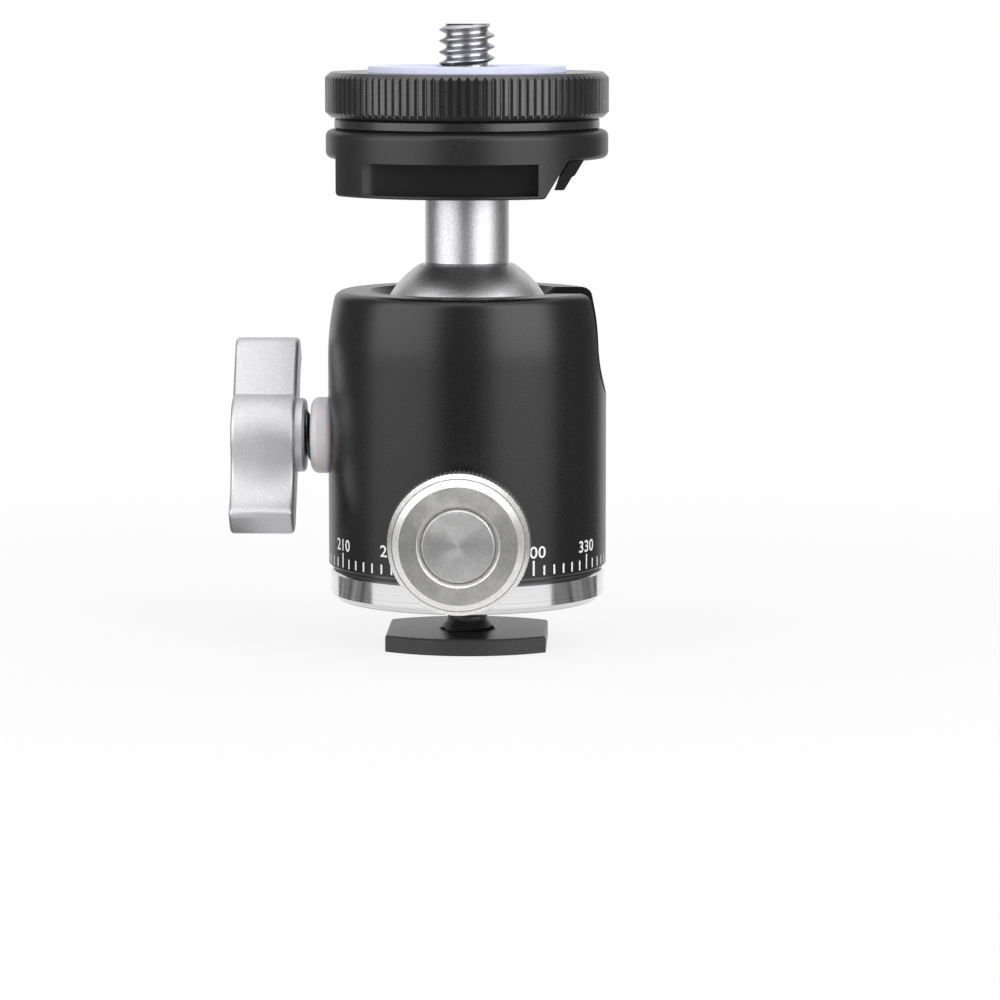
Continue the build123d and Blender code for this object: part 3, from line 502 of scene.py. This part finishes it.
card_grey = Nodes(bpy.data.materials.new("card_grey"))
place = card_grey.split(card_grey.add("ShaderNodeTexCoord").outputs["Object"])
streaks = card_grey.lines(card_grey.math("ARCTAN2", place["Y"], place["X"]), STREAK_SCALE, 3.0)
level = card_grey.ranged(streaks, *CARD_GLOW, *STREAK_RANGE)
card_grey.show("ShaderNodeOutputMaterial", card_grey.glow("ShaderNodeEmission", level))
for card in cards:
    card.data.materials.append(card_grey.owner)


def reach(node, axis):
    """Lowest and highest place of a node along an axis, in millimetres."""
    low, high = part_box(node)
    return low[axis] / MM, high[axis] / MM


# ---- Finishes of the frame's nodes ----
anodised("housing_film", (0.006, 0.006, 0.0065), 0.29, grain=0.18, depth=0.012, ior=1.45).on(
    nodes["housing"])
anodised("platform_film", (0.010, 0.010, 0.011), 0.36, grain=0.2, depth=0.003, ior=1.45).on(
    nodes["platform"])
anodised("jaw_film", (0.006, 0.006, 0.006), 0.4).on(nodes["side_jaw"])
turned("neck_ring_film", (0.014, 0.014, 0.015), 0.28, "Z", AXIS, metallic=0.0, spread=(0.7, 1.3),
       anisotropy=0, depth=0.002, IOR=1.6).on(nodes["neck_ring"])
turned("wheel_film", (0.012, 0.012, 0.013), 0.26, "Z", AXIS, metallic=0.0, spread=(0.7, 1.3),
       anisotropy=0, IOR=1.7).on(nodes["lock_wheel"])
plastic("pad_rubber", (0.75, 0.78, 0.98), 0.55).on(nodes["wheel_pad"])
blasted("ball_dents", (0.62, 0.62, 0.63), 0.35, depth=0.03, spread=(0.75, 1.15)).on(nodes["ball"])
blasted("stem_dents", (0.66, 0.655, 0.67), 0.35, depth=0.035, spread=(0.72, 1.15)).on(nodes["stem"])
pan_metal("pan_screw_metal", 0.97).on(nodes["pan_screw"])
base = turned("base_metal", (0.80, 0.80, 0.81), 0.12, "Z", AXIS, spacing=0.25, depth=0.0015, anisotropy=0.3)
bottom, top = reach("base_plate", 2)
# painted shade: a dark line at the bottom edge and a darker band above it stand in for contact shadow, and
# a darker band at the top edge stands in for shade between parts
base.band("Z", bottom, bottom + 0.1, 0.45)
base.band("Z", bottom + 0.1, bottom + 0.7, 0.86)
base.band("Z", top - 0.2, top, 0.8)
base.on(nodes["base_plate"])
plastic("washer_nylon", (0.60, 0.585, 0.60), 0.32, grain=0.8, depth=0.002, IOR=1.53,
        Subsurface_Weight=0.5, Subsurface_Scale=0.0015).on(nodes["knob_washer"])
anodised("foot_oxide", (0.020, 0.020, 0.021), 0.34, grain=0.25, depth=0.004).on(nodes["shoe_foot"])
turned("spindle_brass", (0.70, 0.55, 0.28), 0.25, "Z", AXIS).on(nodes["pan_spindle"])
turned("plunger_brass", (0.70, 0.55, 0.28), 0.25, "X", LOCK).on(nodes["ball_plunger"])
turned("plug_metal", (0.70, 0.70, 0.71), 0.3, "Z", AXIS).on(nodes["housing_plug"])
turned("plate_metal", (0.70, 0.70, 0.71), 0.3, "Z", AXIS).on(nodes["pressure_plate"])
turned("spring_plate_steel", (0.55, 0.55, 0.56), 0.3, "Z", AXIS).on(nodes["spring_plate"])
turned("spring_steel", (0.42, 0.43, 0.45), 0.28, "Z", AXIS).on(nodes["disc_springs"])
turned("small_screw_steel", (0.50, 0.50, 0.51), 0.3, "Z", AXIS).on(nodes["spindle_screws"])
plastic("glide_acetal", (0.05, 0.05, 0.05), 0.45).on(nodes["glide_washer"])
plastic("cup_acetal", (0.83, 0.83, 0.80), 0.4).on(nodes["ball_cup"])
plastic("brake_acetal", (0.83, 0.83, 0.80), 0.4).on(nodes["pan_brake_pad"])


# ---- Threads ----
QUARTER_INCH = (1.27, 3.175, 2.42)      # pitch, crest radius, root radius
M6 = (1.0, 3.0, 2.40)
SCREW_END = 0.6
SCREW_NECK = (0.75, 0.05, 0.6, 2.6)     # how far below the pad's face it starts, slope, length, radius
SCREW_THREAD = 6.0                      # how far below the pad's face the thread is cut
STUD_FOOT_RADIUS = 2.2
STUD_FLARE = (1.2, 3.3, 2.3)            # height above the foot, radius at the foot, radius at its top
STUD_NECK = 0.5
STUD_END = (0.5, 2.3)                   # length of the point, radius at its end
LOCK_END = 0.3

crest = QUARTER_INCH[1]
bottom, top = reach("camera_screw", 2)
pad_top = reach("wheel_pad", 2)[1]
neck_start, slope, neck_length, neck_radius = SCREW_NECK
screw = threaded_rod(
    "camera_screw_thread",
    [(bottom, crest), (pad_top - neck_start, crest), (pad_top - neck_start + slope, neck_radius),
     (pad_top - neck_start + slope + neck_length, neck_radius), (pad_top, crest),
     (top - SCREW_END, crest), (top, crest - SCREW_END)],
    QUARTER_INCH, pad_top - SCREW_THREAD, top, Matrix.Identity(4))
dress(screw, "head", "camera_screw")
turned("camera_screw_steel", (0.45, 0.45, 0.46), 0.30, "Z", AXIS, spacing=0.3, anisotropy=0).on(screw)

bottom, top = reach("shoe_stud", 2)
foot_top = reach("shoe_foot", 2)[1]
flare_height, flare_radius, neck_radius = STUD_FLARE
flare_top = foot_top + flare_height
stud = threaded_rod(
    "shoe_stud_thread",
    [(bottom, STUD_FOOT_RADIUS), (foot_top - 0.001, STUD_FOOT_RADIUS), (foot_top, flare_radius),
     (flare_top, neck_radius), (flare_top + STUD_NECK, neck_radius), (flare_top + 2 * STUD_NECK, crest),
     (top - STUD_END[0], crest), (top, STUD_END[1])],
    QUARTER_INCH, flare_top + STUD_NECK, top, Matrix.Identity(4))
dress(stud, "base", "shoe_stud")
anodised("stud_oxide", (0.018, 0.018, 0.019), 0.32, grain=0.25, depth=0.004).on(stud)

start, end = reach("lock_screw", 0)
length = end - start
rod = threaded_rod(
    "lock_screw_thread", [(0, M6[1]), (length, M6[1])], M6, LOCK_END, length - LOCK_END,
    Matrix.Translation((start * MM, 0, LOCK.z)) @ Matrix.Rotation(math.pi / 2, 4, "Y"), steps=72)
dress(rod, "lock", "lock_screw")
turned("lock_screw_oxide", (0.10, 0.10, 0.105), 0.25, "X", LOCK, anisotropy=0).on(rod)


# ---- Lock knob ----
WING_HUB = 4.85
WING_CREASE = math.radians(100)
WING_FLARE = math.radians(195)
WING_RIDGE = Vector((-7.9, -8.1))
WING_TIP = ((-5.6, -10.9), (-3.0, -10.9))
WING_THICKNESS = 7.35
WING_CORNER = 1.1
WING_EDGE = 0.45
WING_COLLAR = 1.05
COLLAR_RADIUS = 4.25
COLLAR_EDGE = 0.25
COLLAR_SUNK = 1
ARC_STEPS = 20
HUB_CLEAR = 1.5 * WING_HUB              # a corner gets rounded where it lies this far out
SHARP_TURN = math.radians(20)           # and turns more than this


def arc(centre, radius, start, end):
    angles = [start + (end - start) * step / ARC_STEPS for step in range(ARC_STEPS + 1)]
    return [Vector((centre.x + radius * math.cos(a), centre.y + radius * math.sin(a))) for a in angles]


def wing_half():
    """Half of the S: round the hub, then a curve that leaves it smoothly, then the tip."""
    hub = arc(Vector((0, 0)), WING_HUB, WING_CREASE, WING_FLARE)
    flare = hub[-1]
    across = Vector((math.cos(WING_FLARE), math.sin(WING_FLARE)))
    chord = WING_RIDGE - flare
    radius = chord.length_squared / (2 * chord.dot(across))
    centre = flare + across * radius
    start = math.atan2(flare.y - centre.y, flare.x - centre.x)
    end = math.atan2(WING_RIDGE.y - centre.y, WING_RIDGE.x - centre.x)
    turn = math.remainder(end - start, 2 * math.pi)
    sweep = arc(centre, abs(radius), start, start + turn)
    return hub + sweep[1:] + [Vector(corner) for corner in WING_TIP]


def walk(outline, index, step, way):
    """Where going a way along the outline from a corner ends, and how many points are passed."""
    spot, passed = outline[index], 0
    while True:
        after = outline[(index + step * (passed + 1)) % len(outline)]
        gap = (after - spot).length
        if gap > way:
            return spot + (after - spot) * (way / gap), passed
        way -= gap
        spot = after
        passed += 1


def rounded(outline, size):
    """The outline with a short curve in place of each outer corner."""
    curves, dropped = {}, set()
    for index, corner in enumerate(outline):
        before, after = corner - outline[index - 1], outline[(index + 1) % len(outline)] - corner
        if corner.length < HUB_CLEAR or before.angle(after) < SHARP_TURN:
            continue
        start, back = walk(outline, index, -1, size)
        end, on = walk(outline, index, 1, size)
        dropped |= {(index + step) % len(outline) for step in range(-back, on + 1)}
        curves[index] = [start * (1 - t) ** 2 + corner * 2 * t * (1 - t) + end * t ** 2
                         for t in (0, 0.2, 0.4, 0.6, 0.8, 1)]
    points = []
    for index, point in enumerate(outline):
        points += curves.get(index, [] if index in dropped else [point])
    return points


def inset(outline, size):
    """The outline moved inwards by size."""
    points = []
    for index, point in enumerate(outline):
        before, after = point - outline[index - 1], outline[(index + 1) % len(outline)] - point
        inwards = [Vector((-side.y, side.x)).normalized() for side in (before, after)]
        points.append(point + (inwards[0] + inwards[1]) * size / (1 + inwards[0].dot(inwards[1])))
    return points


outer_face = -reach("lock_knob", 0)[1] + WING_COLLAR + WING_THICKNESS
outline = wing_half()
outline = rounded(outline + [-point for point in outline], WING_CORNER)
rounding = [(WING_EDGE * (1 - math.sin(turn)), WING_EDGE * (1 - math.cos(turn)))
            for turn in (math.pi / 2, math.pi / 3, math.pi / 6, 0)]
layers = rounding + [(WING_THICKNESS - depth, size) for depth, size in reversed(rounding)]
work = bmesh.new()
rows = [[work.verts.new(((depth - outer_face) * MM, point.x * MM, point.y * MM + LOCK.z))
         for point in inset(outline, size)] for depth, size in layers]
for row, after in zip(rows, rows[1:]):
    for index in range(len(row)):
        work.faces.new((row[index - 1], row[index], after[index], after[index - 1]))
work.faces.new(rows[0])
work.faces.new(rows[-1])
collar_end = WING_THICKNESS + WING_COLLAR
lathe_shape(
    work,
    [(WING_THICKNESS - COLLAR_SUNK, COLLAR_RADIUS), (collar_end - COLLAR_EDGE, COLLAR_RADIUS),
     (collar_end, COLLAR_RADIUS - COLLAR_EDGE)],
    Matrix.Translation((-outer_face * MM, 0, LOCK.z)) @ Matrix.Rotation(math.pi / 2, 4, "Y"))
wing = new_piece(work, "lock_wing", 35.0)
dress(wing, "lock", "lock_knob")
blasted("lock_knob_dents", (0.55, 0.55, 0.563), 0.5, depth=0.016, spread=(0.85, 1.12)).on(wing)


# ---- Pan knob: pairs are a height or length along it and a radius ----
KNOB_LENGTH = 8.0
KNOB_BOSS = (1.4, 4.2)
KNOB_BORE = 2.02
KNOB_WAIST = 5.8
KNOB_RADIUS = 7.95
KNOB_TOOTH = 0.22
KNOB_TEETH = 100
KNOB_RIM_START = 3.3
KNOB_RIM_END = 6.68
KNOB_BACK_EDGE = 0.35
KNOB_GROOVE = (0.35, 0.3)
KNOB_SHOULDER = 7.85
KNOB_STEP = (7.17, 7.4)
KNOB_BEVEL = (7.3, 7.25)
KNOB_FACE = 6.55
KNOB_RECESS = (1.2, 4.18)
KNOB_RECESS_EDGE = 0.44

groove_start = KNOB_RIM_END - KNOB_GROOVE[0]
valley = KNOB_RADIUS - KNOB_TOOTH
knob_outline = [
    (-KNOB_BOSS[0], KNOB_BORE), (-KNOB_BOSS[0], KNOB_BOSS[1]), (0, KNOB_BOSS[1]),
    (0, KNOB_WAIST), (KNOB_RIM_START, KNOB_WAIST), (KNOB_RIM_START, KNOB_RADIUS - KNOB_BACK_EDGE),
    (KNOB_RIM_START + KNOB_BACK_EDGE, KNOB_RADIUS, valley), (groove_start, KNOB_RADIUS, valley),
    (groove_start, KNOB_RADIUS - KNOB_GROOVE[1]), (KNOB_RIM_END, KNOB_RADIUS - KNOB_GROOVE[1]),
    (KNOB_RIM_END, KNOB_SHOULDER), KNOB_STEP, (KNOB_STEP[0], KNOB_BEVEL[1]), KNOB_BEVEL,
    (KNOB_LENGTH, KNOB_FACE), (KNOB_LENGTH, KNOB_RECESS[1] + KNOB_RECESS_EDGE),
    (KNOB_LENGTH - KNOB_RECESS_EDGE, KNOB_RECESS[1]), (KNOB_LENGTH - KNOB_RECESS[0], KNOB_RECESS[1]),
    (KNOB_LENGTH - KNOB_RECESS[0], KNOB_BORE),
]
knob_back = reach("pan_knob", 1)[0] + KNOB_LENGTH
work = bmesh.new()
lathe_shape(work, knob_outline,
            Matrix.Translation((0, knob_back * MM, PAN.z)) @ Matrix.Rotation(math.pi / 2, 4, "X"),
            steps=2 * KNOB_TEETH, closed=True)
knob = new_piece(work, "pan_knob_knurled", 25.0)
dress(knob, "pan_lock", "pan_knob")
pan_metal("pan_knob_metal", 0.88).on(knob)


# ---- Printed scale ----
PRINT_RADIUS = 16.012
TICK_BOTTOM = reach("housing", 2)[0] + 0.67
SHORT_TICK = 1.08
LONG_TICK = 1.70
TICK_WIDTH = 0.25
DIGIT_BOTTOM = TICK_BOTTOM + LONG_TICK + 0.25
DIGIT_HEIGHT = 1.35
DIGIT_STRETCH = 1.12
DIGIT_SPACING = 1.05
DIGIT_WEIGHT = 0.012
TICK_EVERY = 5
NUMBER_EVERY = 30


def on_body(angle, across, height):
    """Point of the print: across is measured round the housing to the right, seen from outside."""
    turn = math.radians(angle) + across / PRINT_RADIUS
    return (PRINT_RADIUS * math.cos(turn) * MM, PRINT_RADIUS * math.sin(turn) * MM, height * MM)


def digit_mesh(text):
    """Outline of a number as flat vertices and faces, centred, one millimetre high."""
    curve = bpy.data.curves.new("number", "FONT")
    curve.body = text
    curve.align_x = "CENTER"
    curve.space_character = DIGIT_SPACING
    curve.offset = DIGIT_WEIGHT
    holder = bpy.data.objects.new("number", curve)
    scene.collection.objects.link(holder)
    depsgraph = bpy.context.evaluated_depsgraph_get()
    mesh = bpy.data.meshes.new_from_object(holder.evaluated_get(depsgraph))
    points = [vertex.co.copy() for vertex in mesh.vertices]
    faces = [tuple(face.vertices) for face in mesh.polygons]
    bpy.data.objects.remove(holder)
    bpy.data.curves.remove(curve)
    low = min(point.y for point in points)
    tall = max(point.y for point in points) - low
    return [(point.x / tall, (point.y - low) / tall) for point in points], faces


vertices, faces = [], []
for degrees in range(0, 360, TICK_EVERY):
    tall = SHORT_TICK if degrees % NUMBER_EVERY else LONG_TICK
    first = len(vertices)
    for across, height in ((-0.5, 0), (0.5, 0), (0.5, 1), (-0.5, 1)):
        vertices.append(on_body(degrees, across * TICK_WIDTH, TICK_BOTTOM + height * tall))
    faces.append((first, first + 1, first + 2, first + 3))
for degrees in range(0, 360, NUMBER_EVERY):
    points, outlines = digit_mesh(str(degrees))
    first = len(vertices)
    for across, height in points:
        vertices.append(on_body(degrees, across * DIGIT_HEIGHT * DIGIT_STRETCH,
                                DIGIT_BOTTOM + height * DIGIT_HEIGHT))
    faces += [tuple(first + corner for corner in outline) for outline in outlines]
mesh = bpy.data.meshes.new("degree_scale")
mesh.from_pydata(vertices, [], faces)
scale = bpy.data.objects.new("degree_scale", mesh)
scene.collection.objects.link(scale)
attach(scale, "housing")
plastic("scale_ink", (0.78, 0.78, 0.78), 0.5, grain=0.1, depth=0.002).on(scale)
